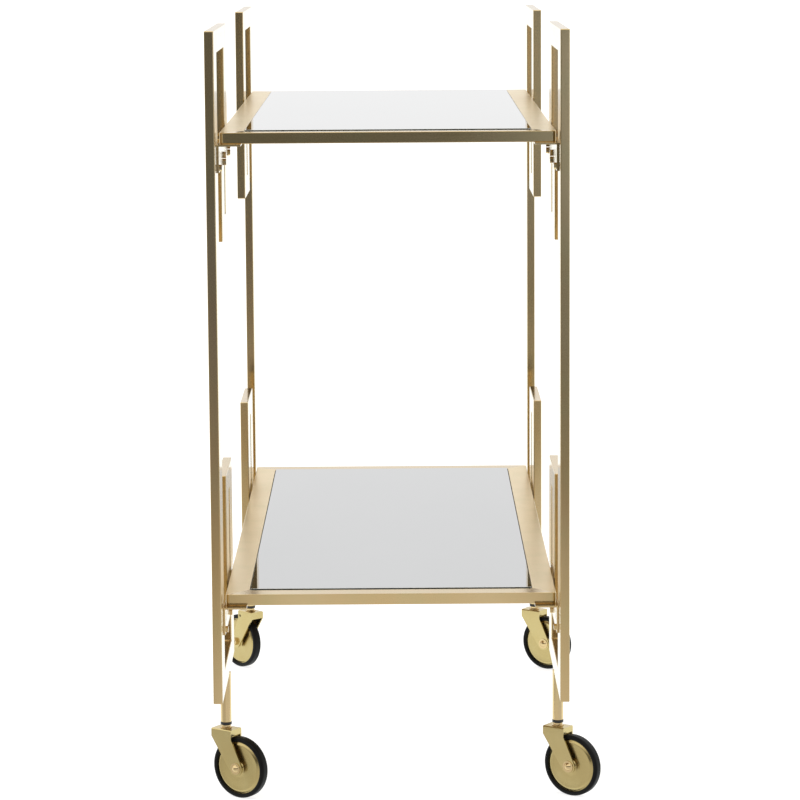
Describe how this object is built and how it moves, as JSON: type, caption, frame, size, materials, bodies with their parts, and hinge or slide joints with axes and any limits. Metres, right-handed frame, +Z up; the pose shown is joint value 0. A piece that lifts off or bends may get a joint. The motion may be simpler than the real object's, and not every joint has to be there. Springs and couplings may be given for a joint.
{
  "type": "bar cart",
  "caption": "Narrow two-tier bar cart in satin gold flat tube with Greek-key legs, mirrored shelves and swivel casters.",
  "frame": {"origin": "on the floor below the middle of the cart", "axes": "+Z up, +Y along the cart from the front end to the rear end, +X to the right seen from the front end"},
  "size_m": [0.4569, 0.914, 0.858],
  "materials": {
    "gold_metal": "satin champagne-gold plating",
    "gold_plate": "smooth champagne-gold plating",
    "zinc_steel": "zinc plated",
    "socket_plastic": "matte black",
    "tyre_rubber": "smooth semi-gloss black",
    "board": "bare fibreboard",
    "mirror_glass": "clear silvered mirror"
  },
  "bodies": {
    "cart": {"front_left_leg_post": "gold_metal", "front_left_upper_key": "gold_metal", "front_left_lower_key": "gold_metal", "front_left_caster_pipe": "gold_metal", "front_left_caster_socket": "socket_plastic", "front_right_leg_post": "gold_metal", "front_right_upper_key": "gold_metal", "front_right_lower_key": "gold_metal", "front_right_caster_pipe": "gold_metal", "front_right_caster_socket": "socket_plastic", "rear_left_leg_post": "gold_metal", "rear_left_upper_key": "gold_metal", "rear_left_lower_key": "gold_metal", "rear_left_caster_pipe": "gold_metal", "rear_left_caster_socket": "socket_plastic", "rear_right_leg_post": "gold_metal", "rear_right_upper_key": "gold_metal", "rear_right_lower_key": "gold_metal", "rear_right_caster_pipe": "gold_metal", "rear_right_caster_socket": "socket_plastic", "tube_end_caps": "gold_metal", "upper_shelf_frame": "gold_metal", "upper_shelf_backing_board": "board", "upper_shelf_mirror": "mirror_glass", "upper_shelf_brackets": "gold_metal", "upper_bracket_bolts": "gold_plate", "upper_rivet_nuts": "zinc_steel", "upper_shelf_screws": "gold_plate", "lower_shelf_frame": "gold_metal", "lower_shelf_backing_board": "board", "lower_shelf_mirror": "mirror_glass", "lower_shelf_brackets": "gold_metal", "lower_bracket_bolts": "gold_plate", "lower_rivet_nuts": "zinc_steel", "lower_shelf_screws": "gold_plate"},
    "front_left_fork": {"front_left_caster_stem": "gold_plate", "front_left_caster_fork": "gold_plate", "front_left_axle_bolt": "gold_plate", "front_left_axle_nut": "gold_plate"},
    "front_left_wheel": {"front_left_wheel_disc": "gold_plate", "front_left_wheel_tyre": "tyre_rubber"},
    "front_right_fork": {"front_right_caster_stem": "gold_plate", "front_right_caster_fork": "gold_plate", "front_right_axle_bolt": "gold_plate", "front_right_axle_nut": "gold_plate"},
    "front_right_wheel": {"front_right_wheel_disc": "gold_plate", "front_right_wheel_tyre": "tyre_rubber"},
    "rear_left_fork": {"rear_left_caster_stem": "gold_plate", "rear_left_caster_fork": "gold_plate", "rear_left_axle_bolt": "gold_plate", "rear_left_axle_nut": "gold_plate"},
    "rear_left_wheel": {"rear_left_wheel_disc": "gold_plate", "rear_left_wheel_tyre": "tyre_rubber"},
    "rear_right_fork": {"rear_right_caster_stem": "gold_plate", "rear_right_caster_fork": "gold_plate", "rear_right_axle_bolt": "gold_plate", "rear_right_axle_nut": "gold_plate"},
    "rear_right_wheel": {"rear_right_wheel_disc": "gold_plate", "rear_right_wheel_tyre": "tyre_rubber"}
  },
  "joints": [
    {"name": "front_left_swivel", "type": "hinge", "parent": "cart", "child": "front_left_fork", "pos_m": [-0.1855, -0.3055, 0.081], "axis": [0, 0, 1], "continuous": true},
    {"name": "front_left_roll", "type": "hinge", "parent": "front_left_fork", "child": "front_left_wheel", "pos_m": [-0.16933, -0.3164, 0.0345], "axis": [0.5592, 0.829, 0], "continuous": true},
    {"name": "front_right_swivel", "type": "hinge", "parent": "cart", "child": "front_right_fork", "pos_m": [0.1855, -0.3055, 0.081], "axis": [0, 0, 1], "continuous": true},
    {"name": "front_right_roll", "type": "hinge", "parent": "front_right_fork", "child": "front_right_wheel", "pos_m": [0.20147, -0.31668, 0.0345], "axis": [0.5736, 0.8192, 0], "continuous": true},
    {"name": "rear_left_swivel", "type": "hinge", "parent": "cart", "child": "rear_left_fork", "pos_m": [-0.1855, 0.3055, 0.081], "axis": [0, 0, 1], "continuous": true},
    {"name": "rear_left_roll", "type": "hinge", "parent": "rear_left_fork", "child": "rear_left_wheel", "pos_m": [-0.19855, 0.31999, 0.0345], "axis": [-0.7431, -0.6691, 0], "continuous": true},
    {"name": "rear_right_swivel", "type": "hinge", "parent": "cart", "child": "rear_right_fork", "pos_m": [0.1855, 0.3055, 0.081], "axis": [0, 0, 1], "continuous": true},
    {"name": "rear_right_roll", "type": "hinge", "parent": "rear_right_fork", "child": "rear_right_wheel", "pos_m": [0.20167, 0.2946, 0.0345], "axis": [0.5592, 0.829, 0], "continuous": true}
  ]
}
